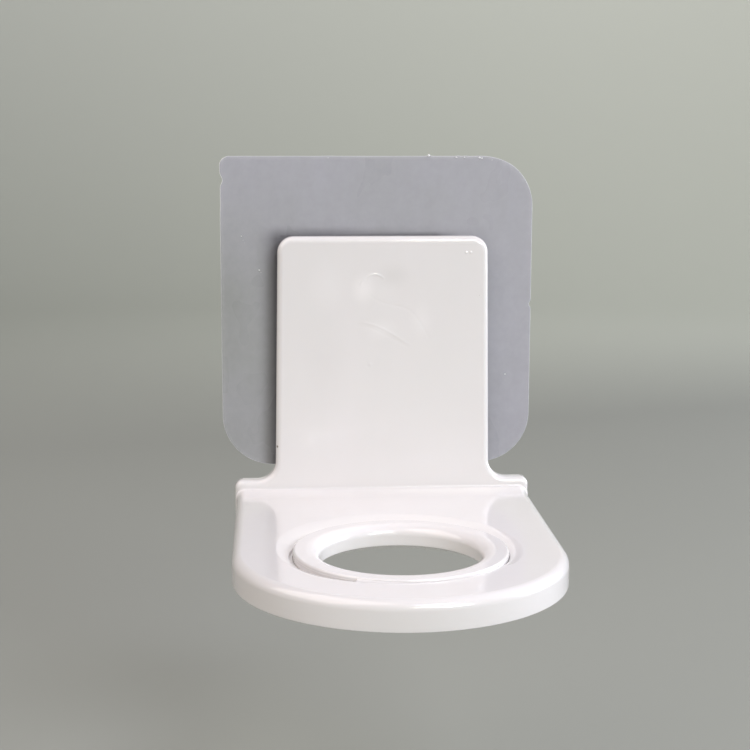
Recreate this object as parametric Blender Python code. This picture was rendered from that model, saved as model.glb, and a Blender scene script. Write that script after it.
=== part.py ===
"""Wall-mounted shower gel holder: a bracket that holds a bottle by its neck.

Frame: metres, +Z up. The wall is the plane y = 0 and the object stands out
towards -Y. x = 0 is the bracket's own plane of symmetry, and z = 0 is the
height of the adhesive's centre.

A one-piece moulded bracket (back plate, two low ears and a D-shaped shelf with
a turned-down rim) is bonded to a clear film, and the film's gel layer sticks to
the wall. A loose ring sits in the shelf's round seat and locks by a short turn:
three lugs under its flange slide beneath the seat's ledge, and ribs stop them.
"""

import math

import bmesh
import bpy
from mathutils import Vector

MM = 0.001

# ---- driving dimensions, millimetres ---------------------------------------

# film and gel on the wall
FILM_W = 70.0
FILM_H = 70.0
FILM_X = -1.1          # the film was stuck a little to the left of the bracket
FILM_R = 11.4          # three round corners
FILM_R_TL = 1.6        # the upper left corner is nearly square
GEL_Y = (0.0, -0.6)
GEL_INSET = 0.4
FILM_Y = (-0.9, -1.5)

# bond pad between film and plate
PAD_W = 40.0
PAD_Z = (-32.0, 14.0)
PAD_Y = (-1.8, -2.4)
PAD_R = 3.0

# back plate and ears
PLATE_Y = (-2.7, -6.0)
PLATE_TOP_Z = 17.25
PLATE_TOP_HALF = 23.4
PLATE_FOOT_HALF = 24.3
PLATE_CORNER_R = 3.6
EAR_HALF = 33.4
EAR_TOP_Z = -37.8
EAR_CORNER_R = 1.8
EAR_FILLET_R = 4.2
PLATE_EDGE_R = 1.3
FOOT_BOTTOM_Z = -45.95

# shelf
SHELF_Z = -40.35       # top face
SHELF_HALF = 33.05
SHELF_ARC_Y = -54.4    # centre of the front arc
RIM_DEPTH = 5.8
SHELF_SKIN = 2.6
SHELF_WALL = 2.2
SHELF_EDGE_R = 2.0
CREASE_RISE = 0.62     # between plate and shelf: a slope that eases to the face,
CREASE_OUT = 6.5       # and a small fillet where it meets the plate
CREASE_R = 0.55
CORE_BACK_Y = -8.4

# seat for the ring
SEAT_Y = -55.4         # the ring's axis is x = 0, y = SEAT_Y
SEAT_R = 21.5
LEDGE_R = 20.3
LEDGE_Z = (-1.6, -3.0)     # from the shelf's top face
BOSS_R = 24.2
BOSS_DEPTH = 4.75
NOTCH_HALF_DEG = 22.6
NOTCH_AT_DEG = (60.0, 180.0, 300.0)
STOP_HALF_DEG = 9.2
STOP_AT_DEG = (90.0, 210.0, 330.0)
RIB = 1.3

# recess in the shelf beside the ring: three quarters of a turn. A soft dish,
# round about a centre a little behind the seat's, falls to a groove at the ring
DISH_R = 24.7
DISH_BACK = 3.7
DISH_SLOPE = 0.2
DISH_DEPTH = 0.8
RECESS_DEPTH = 1.15
RECESS_FROM_DEG = -37.0    # runs out softly here
RECESS_TO_DEG = 243.0      # ends in a square step here
RECESS_FADE_DEG = 14.0
GROOVE_MIN = 0.12
GROOVE_MAX = 1.05
GROOVE_AT_DEG = 208.0      # where the groove is widest
GROOVE_SPREAD_DEG = 42.0

# low raised lip of the shelf beside the ring, fading out after the step
LIP_RISE = 0.34
LIP_WIDTH = 0.9
LIP_TO_DEG = 290.0

# ring
RING_HOLE_R = 16.0        # at the hole's narrowest, RING_WAIST_Z down
RING_WAIST_Z = -1.4
RING_CROWN = 3.05        # width of the rounding from the flat top to the waist
RING_FLARE_Z = -3.45      # below this the hole flares to the foot
RING_FOOT_HOLE_R = 18.2
RING_R = 21.2
SPIGOT_R = 20.0
RING_PROUD = 0.62
FLANGE_BOTTOM = -1.3
RING_BOTTOM = -4.6
RING_OUTER_EDGE_R = 0.45
LUG_TOP = -3.3
LUG_HALF_DEG = 20.0
LUG_AT_DEG = (0.0, 120.0, 240.0)

# resolution
ARC_SHELF = 60
ARC_RING = 96
CORNER = 7
EDGE_SEG = 4


# ---- small mesh tools -------------------------------------------------------

def arc(cx, cy, r, a0, a1, n):
    """n + 1 points from angle a0 to a1, in degrees."""
    out = []
    for i in range(n + 1):
        a = math.radians(a0 + (a1 - a0) * i / n)
        out.append((cx + r * math.cos(a), cy + r * math.sin(a)))
    return out


def new_object(name, bm):
    bmesh.ops.recalc_face_normals(bm, faces=bm.faces)
    mesh = bpy.data.meshes.new(name)
    bm.to_mesh(mesh)
    bm.free()
    ob = bpy.data.objects.new(name, mesh)
    bpy.context.scene.collection.objects.link(ob)
    return ob


def prism_bm(outline, lo, hi, along="Z"):
    """Closed prism. outline is (x, y) for Z, (x, z) for Y, (y, z) for X."""
    put = {
        "Z": lambda p, t: Vector((p[0], p[1], t)),
        "Y": lambda p, t: Vector((p[0], t, p[1])),
        "X": lambda p, t: Vector((t, p[0], p[1])),
    }[along]
    bm = bmesh.new()
    a = [bm.verts.new(put(p, lo) * MM) for p in outline]
    b = [bm.verts.new(put(p, hi) * MM) for p in outline]
    bm.faces.new(a)
    bm.faces.new(list(reversed(b)))
    n = len(outline)
    for i in range(n):
        j = (i + 1) % n
        bm.faces.new((a[j], a[i], b[i], b[j]))
    bmesh.ops.recalc_face_normals(bm, faces=bm.faces)
    return bm


def round_edges(bm, pick, radius, segments):
    """Rounds the edges for which pick(first, second) holds, ends in mm."""
    edges = [e for e in bm.edges
             if pick(e.verts[0].co / MM, e.verts[1].co / MM)]
    bmesh.ops.bevel(bm, geom=edges, offset=radius * MM, offset_type="OFFSET",
                    segments=segments, profile=0.5, affect="EDGES",
                    clamp_overlap=False)


def loft_bm(sections, closed):
    """Skins rings of points in mm. closed joins the last ring to the first."""
    bm = bmesh.new()
    rows = [[bm.verts.new(Vector(p) * MM) for p in s] for s in sections]
    m = len(rows[0])
    count = len(rows)
    for i in range(count if closed else count - 1):
        a, b = rows[i], rows[(i + 1) % count]
        for j in range(m):
            k = (j + 1) % m
            bm.faces.new((a[j], a[k], b[k], b[j]))
    if not closed:
        bm.faces.new(rows[0])
        bm.faces.new(list(reversed(rows[-1])))
    bmesh.ops.recalc_face_normals(bm, faces=bm.faces)
    return bm


def sector_bm(profile, a0, a1, n, cy=SEAT_Y, cz=SHELF_Z):
    """Turns a closed (r, z) profile about the seat's axis from a0 to a1.

    profile is a list, or a function of the angle in degrees.
    """
    whole = abs(a1 - a0) >= 360.0
    sections = []
    for i in range(n if whole else n + 1):
        deg = a0 + (a1 - a0) * i / n
        a = math.radians(deg)
        shape = profile(deg) if callable(profile) else profile
        sections.append([(r * math.cos(a), cy + r * math.sin(a), cz + z)
                         for r, z in shape])
    return loft_bm(sections, whole)


def turned_bm(steps, n, cy=SEAT_Y, cz=SHELF_Z):
    """Solid turned about the seat's axis. steps are (r, z) from top to bottom."""
    sections = []
    for r, z in steps:
        sections.append([(x, y, cz + z) for x, y in arc(0.0, cy, r, 0, 360, n)[:-1]])
    return loft_bm(sections, False)


def boolean(ob, bm, operation, name="tool"):
    """Joins or cuts at once, and drops the tool."""
    tool = new_object(name, bm)
    tool.hide_render = True
    tool.display_type = "WIRE"
    mod = ob.modifiers.new(operation.lower(), "BOOLEAN")
    mod.operation = operation
    mod.solver = "EXACT"
    mod.object = tool
    deps = bpy.context.evaluated_depsgraph_get()
    mesh = bpy.data.meshes.new_from_object(ob.evaluated_get(deps))
    ob.modifiers.clear()
    old = ob.data
    ob.data = mesh
    mesh.name = old.name if old.name != mesh.name else mesh.name
    bpy.data.meshes.remove(old)
    bpy.data.objects.remove(tool)
    bm = bmesh.new()
    bm.from_mesh(ob.data)
    bmesh.ops.remove_doubles(bm, verts=bm.verts, dist=0.0008 * MM)
    bmesh.ops.dissolve_degenerate(bm, edges=bm.edges, dist=0.0004 * MM)
    bm.to_mesh(ob.data)
    bm.free()


def material(name, colour, roughness, metallic=0.0, alpha=1.0):
    mat = bpy.data.materials.new(name)
    mat.use_nodes = True
    bsdf = mat.node_tree.nodes["Principled BSDF"]
    bsdf.inputs["Base Color"].default_value = (*colour, 1.0)
    bsdf.inputs["Roughness"].default_value = roughness
    bsdf.inputs["Metallic"].default_value = metallic
    bsdf.inputs["Alpha"].default_value = alpha
    return mat


def finish(ob, mat, sharp_deg=28.0):
    ob.data.materials.clear()
    ob.data.materials.append(mat)
    ob.data.shade_smooth()
    ob.data.set_sharp_from_angle(angle=math.radians(sharp_deg))


# ---- outlines ---------------------------------------------------------------

def film_outline(inset=0.0):
    """(x, z), anticlockwise from the lower left. Upper left nearly square."""
    x0 = FILM_X - FILM_W / 2 + inset
    x1 = FILM_X + FILM_W / 2 - inset
    z0, z1 = -FILM_H / 2 + inset, FILM_H / 2 - inset
    r = FILM_R - inset
    q = max(FILM_R_TL - inset, 0.4)
    n = CORNER + 3
    return (arc(x0 + r, z0 + r, r, 180, 270, n)
            + arc(x1 - r, z0 + r, r, 270, 360, n)
            + arc(x1 - r, z1 - r, r, 0, 90, n)
            + arc(x0 + q, z1 - q, q, 90, 180, 4))


def pad_outline():
    w, (z0, z1), r = PAD_W / 2, PAD_Z, PAD_R
    return (arc(-w + r, z0 + r, r, 180, 270, 4)
            + arc(w - r, z0 + r, r, 270, 360, 4)
            + arc(w - r, z1 - r, r, 0, 90, 4)
            + arc(-w + r, z1 - r, r, 90, 180, 4))


def plate_outline():
    """(x, z) of foot, ears and plate. The plate narrows upwards a little."""
    zt, ze = PLATE_TOP_Z, EAR_TOP_Z
    lean = math.degrees(math.atan((PLATE_FOOT_HALF - PLATE_TOP_HALF)
                                  / (zt - SHELF_Z)))
    rc, rf, re = PLATE_CORNER_R, EAR_FILLET_R, EAR_CORNER_R

    def side(z):
        t = (z - SHELF_Z) / (zt - SHELF_Z)
        return PLATE_FOOT_HALF + (PLATE_TOP_HALF - PLATE_FOOT_HALF) * t

    right = [(EAR_HALF, FOOT_BOTTOM_Z)]
    right += arc(EAR_HALF - re, ze - re, re, 0, 90, CORNER)
    # concave fillet from the ear's top up into the plate's side
    cz = ze + rf
    cx = side(cz) + rf / math.cos(math.radians(lean))
    right += arc(cx, cz, rf, 270, 180 - lean, CORNER)
    # round upper corner
    cz = zt - rc
    cx = side(cz) - rc / math.cos(math.radians(lean))
    right += arc(cx, cz, rc, lean, 90, CORNER)
    left = [(-x, z) for x, z in reversed(right)]
    return right + left


def shelf_outline(inset=0.0, back=-4.5):
    """(x, y) of the D-shaped shelf."""
    r = SHELF_HALF - inset
    return ([(-r, back)]
            + arc(0.0, SHELF_ARC_Y, r, 180, 360, ARC_SHELF)
            + [(r, back)])


def ease(t):
    t = min(max(t, 0.0), 1.0)
    return t * t * (3.0 - 2.0 * t)


def recess_profile(deg):
    """Section of the recess at an angle: groove beside the ring, dish outside."""
    k = 0.03 + 0.97 * ease((deg - RECESS_FROM_DEG) / RECESS_FADE_DEG)
    w = ease(1.0 - abs(deg - GROOVE_AT_DEG) / GROOVE_SPREAD_DEG)
    groove = SEAT_R + (GROOVE_MIN + (GROOVE_MAX - GROOVE_MIN) * w) * k
    a = math.radians(deg)
    edge = DISH_BACK * math.sin(a) \
        + math.sqrt(DISH_R ** 2 - (DISH_BACK * math.cos(a)) ** 2)
    span = max(edge - groove, 0.4) * (0.2 + 0.8 * k)
    sink = min(0.02 + DISH_SLOPE * span, DISH_DEPTH) * k
    steps = 5
    shape = [(SEAT_R - 0.6, 0.6), (SEAT_R - 0.6, -RECESS_DEPTH * k),
             (groove - 0.05 * k, -RECESS_DEPTH * k)]
    for i in range(steps + 1):
        s = i / steps
        shape.append((groove + span * s, -sink * (1.0 - s) ** 1.35))
    shape.append((groove + span + 0.3, 0.6))
    return shape


def lip_profile(deg):
    """Section of the low lip, from the step to where it has faded out."""
    k = 0.04 + 0.96 * ease((LIP_TO_DEG - deg) / 44.0)
    shape = [(SEAT_R, -0.6)]
    steps = 4
    for i in range(steps + 1):
        s = i / steps
        shape.append((SEAT_R + LIP_WIDTH * s,
                      LIP_RISE * k * (1.0 - s) ** 2 - 0.02 * s))
    shape.append((SEAT_R + LIP_WIDTH, -0.6))
    return shape


def crease_bm(front, low):
    """Soft corner between the plate and the shelf, over its top and down its
    sides, where only a narrow strip of the ear is left to lean on."""
    h, e = SHELF_HALF, SHELF_EDGE_R
    strip = EAR_HALF - SHELF_HALF - 0.05
    way = [(h, low, 0.0), (h, (low + SHELF_Z - e) / 2.0, 0.0)]
    turns = 6
    for i in range(turns + 1):
        a = 90.0 * i / turns
        way.append((h - e + e * math.cos(math.radians(a)),
                    SHELF_Z - e + e * math.sin(math.radians(a)), a))
    way += [(25.0, SHELF_Z, 90.0), (0.0, SHELF_Z, 90.0)]
    way += [(-x, z, 180.0 - a) for x, z, a in reversed(way[:-1])]
    sections = []
    for x, z, a in way:
        nx, nz = math.cos(math.radians(a)), math.sin(math.radians(a))
        top = nz ** 1.5
        rise = 0.12 + (CREASE_RISE - 0.12) * top
        out = 1.0 + (CREASE_OUT - 1.0) * nz ** 2
        r = strip - 0.15 + (CREASE_R - strip + 0.15) * top
        m = 2.0 * rise / out * (1.0 - 0.8 * r / out)
        c = math.sqrt(1.0 + m * m)
        d0 = r * (1.0 - m / c)
        z0 = rise * (1.0 - d0 / out) ** 2
        zc = z0 + m * d0 - m * r + r * c
        shape = [(front + 0.6, -0.5), (front + 0.6, zc)]
        last = 90.0 - math.degrees(math.atan(m))
        for k in range(5):
            t = math.radians(last * k / 4.0)
            shape.append((front - r + r * math.cos(t), zc - r * math.sin(t)))
        for k in range(1, 5):
            d = d0 + (out - d0) * k / 4.0
            shape.append((front - d, rise * (1.0 - d / out) ** 2))
        shape.append((front - out, -0.5))
        sections.append([(x + nx * n, y, z + nz * n) for y, n in shape])
    return loft_bm(sections, False)


# ---- bracket ----------------------------------------------------------------

def make_bracket(mat):
    back, front = PLATE_Y

    plate = prism_bm(plate_outline(), back, front, "Y")
    round_edges(
        plate,
        lambda a, b: abs(a.y - front) < 1e-3 and abs(b.y - front) < 1e-3
        and not (a.z < FOOT_BOTTOM_Z + 0.01 and b.z < FOOT_BOTTOM_Z + 0.01),
        PLATE_EDGE_R, EDGE_SEG)
    ob = new_object("bracket", plate)

    zb = SHELF_Z - RIM_DEPTH
    shelf = prism_bm(shelf_outline(), zb, SHELF_Z, "Z")
    round_edges(
        shelf,
        lambda a, b: abs(a.z - SHELF_Z) < 1e-3 and abs(b.z - SHELF_Z) < 1e-3
        and not (a.y > -4.6 and b.y > -4.6),
        SHELF_EDGE_R, EDGE_SEG)
    boolean(ob, shelf, "UNION")

    boolean(ob, crease_bm(front, zb + 0.4), "UNION")

    # hollow underside: rim wall, seat boss and ribs stay
    core = new_object("core", prism_bm(shelf_outline(SHELF_WALL, CORE_BACK_Y),
                                       zb - 2.0, SHELF_Z - SHELF_SKIN, "Z"))
    boolean(core, turned_bm([(BOSS_R, -SHELF_SKIN + 1.0), (BOSS_R, -BOSS_DEPTH)],
                            72), "DIFFERENCE")
    low = SHELF_Z - BOSS_DEPTH
    high = SHELF_Z - SHELF_SKIN + 1.0
    for x in (-12.0, 12.0):
        box = [(x - RIB / 2, CORE_BACK_Y + 1.0), (x + RIB / 2, CORE_BACK_Y + 1.0),
               (x + RIB / 2, SEAT_Y + 15.0), (x - RIB / 2, SEAT_Y + 15.0)]
        boolean(core, prism_bm(box, low, high, "Z"), "DIFFERENCE")
    for deg in (0.0, 180.0, 225.0, 270.0, 315.0):
        a = math.radians(deg)
        u = Vector((math.cos(a), math.sin(a)))
        v = Vector((-u.y, u.x))
        c = Vector((0.0, SEAT_Y))
        box = [tuple(c + u * s + v * t) for s, t in
               ((BOSS_R - 1.5, -RIB / 2), (36.0, -RIB / 2),
                (36.0, RIB / 2), (BOSS_R - 1.5, RIB / 2))]
        boolean(core, prism_bm(box, low, high, "Z"), "DIFFERENCE")
    cut = bmesh.new()
    cut.from_mesh(core.data)
    bpy.data.objects.remove(core)
    boolean(ob, cut, "DIFFERENCE")

    # seat: bore above the ledge and a smaller bore through it
    boolean(ob, turned_bm([(SEAT_R, 3.0), (SEAT_R, LEDGE_Z[0]),
                           (LEDGE_R, LEDGE_Z[0]), (LEDGE_R, -RIM_DEPTH - 2.0)],
                          ARC_RING), "DIFFERENCE")
    # room for the ring's lugs below the ledge, between the ribs that stop them
    third = 360.0 / len(STOP_AT_DEG)
    for deg in STOP_AT_DEG:
        boolean(ob, sector_bm([(LEDGE_R - 1.3, LEDGE_Z[1]), (SEAT_R, LEDGE_Z[1]),
                               (SEAT_R, -RIM_DEPTH - 2.0),
                               (LEDGE_R - 1.3, -RIM_DEPTH - 2.0)],
                              deg + STOP_HALF_DEG, deg + third - STOP_HALF_DEG,
                              ARC_RING // 4), "DIFFERENCE")
    # notches that let the lugs pass when the ring has been turned
    for deg in NOTCH_AT_DEG:
        boolean(ob, sector_bm([(LEDGE_R - 1.3, LEDGE_Z[0] + 0.5), (SEAT_R - 0.05, LEDGE_Z[0] + 0.5),
                               (SEAT_R - 0.05, LEDGE_Z[1] - 0.5), (LEDGE_R - 1.3, LEDGE_Z[1] - 0.5)],
                              deg - NOTCH_HALF_DEG, deg + NOTCH_HALF_DEG, 12),
                "DIFFERENCE")

    # the recess beside the ring
    boolean(ob, sector_bm(recess_profile, RECESS_FROM_DEG, RECESS_TO_DEG, 76),
            "DIFFERENCE")
    boolean(ob, sector_bm(lip_profile, RECESS_TO_DEG, LIP_TO_DEG, 14), "UNION")
    finish(ob, mat)
    return ob


# ---- ring -------------------------------------------------------------------

def ring_profile():
    """(r, z) from the shelf's top face, anticlockwise."""
    ro = RING_OUTER_EDGE_R
    shape = [(RING_FOOT_HOLE_R + 0.12, RING_BOTTOM), (SPIGOT_R - 0.3, RING_BOTTOM),
             (SPIGOT_R, RING_BOTTOM + 0.3), (SPIGOT_R, FLANGE_BOTTOM),
             (RING_R, FLANGE_BOTTOM)]
    shape += arc(RING_R - ro, RING_PROUD - ro, ro, 0, 90, EDGE_SEG)
    # from the flat top over a broad squarish rounding down to the waist
    drop, n = RING_PROUD - RING_WAIST_Z, 9
    for i in range(n + 1):
        a = math.radians(90.0 - 90.0 * i / n)
        c, q = math.cos(a), math.sin(a)
        shape.append((RING_HOLE_R + RING_CROWN * (1.0 - abs(c) ** (2 / 2.2)),
                      RING_WAIST_Z + drop * abs(q) ** (2 / 2.2)))
    shape += [(RING_HOLE_R + 0.1, RING_FLARE_Z), (RING_FOOT_HOLE_R, RING_BOTTOM + 0.12)]
    return shape


def make_ring(mat):
    bm = sector_bm(ring_profile(), 0, 360, ARC_RING, 0.0, 0.0)
    ob = new_object("insert_ring", bm)
    for deg in LUG_AT_DEG:
        lug = [(SPIGOT_R - 0.8, LUG_TOP), (RING_R, LUG_TOP),
               (RING_R, RING_BOTTOM + 0.25), (RING_R - 0.25, RING_BOTTOM + 0.05),
               (SPIGOT_R - 0.8, RING_BOTTOM + 0.05)]
        boolean(ob, sector_bm(lug, deg - LUG_HALF_DEG, deg + LUG_HALF_DEG, 11,
                              0.0, 0.0), "UNION")
    finish(ob, mat)
    ob.location = Vector((0.0, SEAT_Y, SHELF_Z)) * MM
    return ob


# ---- scene ------------------------------------------------------------------

def main():
    for ob in list(bpy.data.objects):
        bpy.data.objects.remove(ob)

    white = material("white_abs", (0.86, 0.85, 0.84), 0.22)
    ring_white = material("white_abs_ring", (0.87, 0.86, 0.85), 0.22)
    clear = material("clear_film", (0.72, 0.74, 0.77), 0.25, alpha=0.45)
    gel = material("clear_gel", (0.70, 0.73, 0.74), 0.35, alpha=0.35)
    bond = material("bond_pad", (0.80, 0.80, 0.79), 0.6)

    ob = new_object("gel_layer", prism_bm(film_outline(GEL_INSET), *GEL_Y, "Y"))
    finish(ob, gel)
    ob = new_object("film", prism_bm(film_outline(), *FILM_Y, "Y"))
    finish(ob, clear)
    ob = new_object("bond_pad", prism_bm(pad_outline(), *PAD_Y, "Y"))
    finish(ob, bond)

    bracket = make_bracket(white)

    # the ring turns about this empty, which stands on the hole's axis
    pivot = bpy.data.objects.new("ring_axis", None)
    pivot.location = Vector((0.0, SEAT_Y, SHELF_Z)) * MM
    bpy.context.scene.collection.objects.link(pivot)
    ring = make_ring(ring_white)
    ring.location = (0.0, 0.0, 0.0)
    ring.parent = pivot

    bpy.context.view_layer.update()
    return bracket, ring


main()
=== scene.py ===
"""Looks of the wall-mounted shower gel holder.

The white bracket and its ring, the clear film, the gel and the bonding pad are
modelled here at fine resolution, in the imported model's frame: metres, +Z up,
the wall is y = 0 and the object stands out towards -Y.
"""

import math

import bmesh
import bpy
from mathutils import Matrix, Vector, noise


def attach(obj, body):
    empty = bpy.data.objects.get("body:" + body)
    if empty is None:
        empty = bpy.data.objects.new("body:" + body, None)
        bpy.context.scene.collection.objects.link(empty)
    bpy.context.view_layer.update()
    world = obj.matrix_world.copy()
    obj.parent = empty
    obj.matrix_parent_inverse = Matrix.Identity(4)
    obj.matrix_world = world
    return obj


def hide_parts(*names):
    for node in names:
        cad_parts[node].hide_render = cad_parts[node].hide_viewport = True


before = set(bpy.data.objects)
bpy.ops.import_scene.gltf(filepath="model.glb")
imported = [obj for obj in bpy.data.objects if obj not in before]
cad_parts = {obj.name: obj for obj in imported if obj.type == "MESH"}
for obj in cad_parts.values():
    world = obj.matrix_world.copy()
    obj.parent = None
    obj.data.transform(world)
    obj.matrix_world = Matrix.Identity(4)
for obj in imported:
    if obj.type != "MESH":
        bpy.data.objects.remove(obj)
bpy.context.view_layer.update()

MM = 0.001

# ---- dimensions, millimetres, as in the solids -------------------------------

FILM_W = 70.0
FILM_H = 70.0
FILM_X = -1.1
FILM_R = 11.4
FILM_R_TL = 2.2
FILM_Y = (-0.92, -1.48)
GEL_Y = (-0.02, -0.58)
GEL_INSET = 0.55

PAD_W = 40.0
PAD_Z = (-32.0, 14.0)
PAD_Y = (-1.82, -2.38)
PAD_R = 3.0

PLATE_Y = (-2.7, -6.0)
PLATE_TOP_Z = 17.25
PLATE_TOP_HALF = 23.4
PLATE_FOOT_HALF = 24.3
PLATE_CORNER_R = 3.6
EAR_HALF = 33.4
EAR_TOP_Z = -37.8
EAR_CORNER_R = 1.8
EAR_FILLET_R = 4.2
PLATE_EDGE_R = 1.3
FOOT_BOTTOM_Z = -45.95

SHELF_Z = -40.35
SHELF_HALF = 33.05
SHELF_ARC_Y = -54.4
RIM_DEPTH = 5.8
SHELF_SKIN = 2.6
SHELF_WALL = 2.2
SHELF_EDGE_R = 2.0
CREASE_RISE = 0.62
CREASE_OUT = 6.5
CREASE_R = 0.55
CORE_BACK_Y = -8.4

SEAT_Y = -55.4
SEAT_R = 21.27
LEDGE_R = 20.3
LEDGE_Z = (-1.6, -3.0)
BOSS_R = 24.2
BOSS_DEPTH = 4.75
NOTCH_HALF_DEG = 22.6
NOTCH_AT_DEG = (60.0, 180.0, 300.0)
STOP_HALF_DEG = 9.2
STOP_AT_DEG = (90.0, 210.0, 330.0)
RIB = 1.3

RECESS_DEPTH = 1.15
RECESS_FROM_DEG = -37.0
RECESS_TO_DEG = 243.2
RECESS_FADE_DEG = 14.0
LIP_RISE = 0.34
LIP_WIDTH = 0.9
LIP_TO_DEG = 290.0
# width of the groove beside the seat, and outer radius of the soft dish, by angle
GROOVE_WIDTH = ((-40, 0.10), (0, 0.16), (60, 0.30), (120, 0.34), (160, 0.42),
                (178, 0.62), (192, 0.96), (211, 1.30), (225, 1.04), (236, 0.56),
                (244, 0.26))
DISH_OUTER = ((-40, 22.0), (-30, 22.95), (-14, 23.75), (0, 24.35), (16, 25.1),
              (34, 26.3), (56, 27.8), (90, 28.8), (118, 28.6), (136, 28.0),
              (150, 26.8), (167, 25.1), (180, 24.3), (200, 23.65), (220, 23.2),
              (236, 22.5), (244, 22.0))

RING_HOLE_R = 16.0
RING_WAIST_Z = -1.4
RING_FLARE_Z = -3.45
RING_CROWN = 3.05
RING_FOOT_HOLE_R = 18.2
RING_R = 21.2
SPIGOT_R = 20.0
RING_PROUD = 0.62
FLANGE_BOTTOM = -1.3
RING_BOTTOM = -4.6
LUG_TOP = -3.3
LUG_HALF_DEG = 20.0
LUG_AT_DEG = (0.0, 120.0, 240.0)

ARC_SHELF = 180
ARC_RING = 288
CORNER = 16
EDGE_SEG = 8


# ---- mesh tools --------------------------------------------------------------

def arc(cx, cy, r, a0, a1, n):
    out = []
    for i in range(n + 1):
        a = math.radians(a0 + (a1 - a0) * i / n)
        out.append((cx + r * math.cos(a), cy + r * math.sin(a)))
    return out


def ease(t):
    t = min(max(t, 0.0), 1.0)
    return t * t * (3.0 - 2.0 * t)


def new_object(name, bm):
    bmesh.ops.recalc_face_normals(bm, faces=bm.faces)
    mesh = bpy.data.meshes.new(name)
    bm.to_mesh(mesh)
    bm.free()
    ob = bpy.data.objects.new(name, mesh)
    bpy.context.scene.collection.objects.link(ob)
    return ob


def prism_bm(outline, lo, hi, along="Z"):
    """Closed prism. outline is (x, y) for Z, (x, z) for Y, (y, z) for X."""
    put = {
        "Z": lambda p, t: Vector((p[0], p[1], t)),
        "Y": lambda p, t: Vector((p[0], t, p[1])),
        "X": lambda p, t: Vector((t, p[0], p[1])),
    }[along]
    bm = bmesh.new()
    a = [bm.verts.new(put(p, lo) * MM) for p in outline]
    b = [bm.verts.new(put(p, hi) * MM) for p in outline]
    bm.faces.new(a)
    bm.faces.new(list(reversed(b)))
    n = len(outline)
    for i in range(n):
        j = (i + 1) % n
        bm.faces.new((a[j], a[i], b[i], b[j]))
    bmesh.ops.recalc_face_normals(bm, faces=bm.faces)
    return bm


def round_edges(bm, pick, radius, segments):
    edges = [e for e in bm.edges
             if pick(e.verts[0].co / MM, e.verts[1].co / MM)]
    bmesh.ops.bevel(bm, geom=edges, offset=radius * MM, offset_type="OFFSET",
                    segments=segments, profile=0.5, affect="EDGES",
                    clamp_overlap=False)


def loft_bm(sections, closed):
    bm = bmesh.new()
    rows = [[bm.verts.new(Vector(p) * MM) for p in s] for s in sections]
    m = len(rows[0])
    count = len(rows)
    for i in range(count if closed else count - 1):
        a, b = rows[i], rows[(i + 1) % count]
        for j in range(m):
            k = (j + 1) % m
            bm.faces.new((a[j], a[k], b[k], b[j]))
    if not closed:
        bm.faces.new(rows[0])
        bm.faces.new(list(reversed(rows[-1])))
    bmesh.ops.recalc_face_normals(bm, faces=bm.faces)
    return bm


def sector_bm(profile, a0, a1, n, cy=SEAT_Y, cz=SHELF_Z):
    """Turns a closed (r, z) profile about the seat's axis from a0 to a1."""
    whole = abs(a1 - a0) >= 360.0
    sections = []
    for i in range(n if whole else n + 1):
        deg = a0 + (a1 - a0) * i / n
        a = math.radians(deg)
        shape = profile(deg) if callable(profile) else profile
        sections.append([(r * math.cos(a), cy + r * math.sin(a), cz + z)
                         for r, z in shape])
    return loft_bm(sections, whole)


def turned_bm(steps, n, cy=SEAT_Y, cz=SHELF_Z, phase=0.0):
    """Solid turned about the seat's axis. steps are (r, z) from top to bottom."""
    sections = []
    for r, z in steps:
        sections.append([(x, y, cz + z)
                         for x, y in arc(0.0, cy, r, phase, phase + 360, n)[:-1]])
    return loft_bm(sections, False)


def open_edges(mesh):
    bm = bmesh.new()
    bm.from_mesh(mesh)
    count = sum(1 for e in bm.edges if not e.is_manifold)
    bm.free()
    return count


def boolean(ob, bm, operation):
    """Joins or cuts at once, and drops the tool."""
    tool = new_object("tool", bm)
    source = ob.data
    for solver in ("MANIFOLD", "EXACT"):
        mod = ob.modifiers.new("cut", "BOOLEAN")
        mod.operation = operation
        mod.solver = solver
        mod.object = tool
        deps = bpy.context.evaluated_depsgraph_get()
        mesh = bpy.data.meshes.new_from_object(ob.evaluated_get(deps))
        ob.modifiers.clear()
        work = bmesh.new()
        work.from_mesh(mesh)
        bmesh.ops.remove_doubles(work, verts=work.verts, dist=0.0006 * MM)
        bmesh.ops.dissolve_degenerate(work, edges=work.edges, dist=0.0003 * MM)
        work.to_mesh(mesh)
        work.free()
        if len(mesh.polygons) and not open_edges(mesh) \
                and (len(mesh.polygons) != len(source.polygons)
                     or len(mesh.vertices) != len(source.vertices)):
            break
    ob.data = mesh
    bpy.data.meshes.remove(source)
    bpy.data.objects.remove(tool)


def grid_cut(bm, pick, axis, values):
    """Cuts the faces that pick() takes with planes across one axis."""
    for v in values:
        co, no = Vector((0, 0, 0)), Vector((0, 0, 0))
        co[axis], no[axis] = v * MM, 1.0
        faces = [f for f in bm.faces if pick(f)
                 and min(w.co[axis] for w in f.verts) < v * MM - 1e-7
                 and max(w.co[axis] for w in f.verts) > v * MM + 1e-7]
        if not faces:
            continue
        edges = {e for f in faces for e in f.edges}
        verts = {w for f in faces for w in f.verts}
        bmesh.ops.bisect_plane(bm, geom=list(faces) + list(edges) + list(verts),
                               dist=1e-8, plane_co=co, plane_no=no)


def spread(lo, hi, step):
    n = max(1, int(round((hi - lo) / step)))
    return [lo + (hi - lo) * i / n for i in range(n + 1)]


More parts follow.
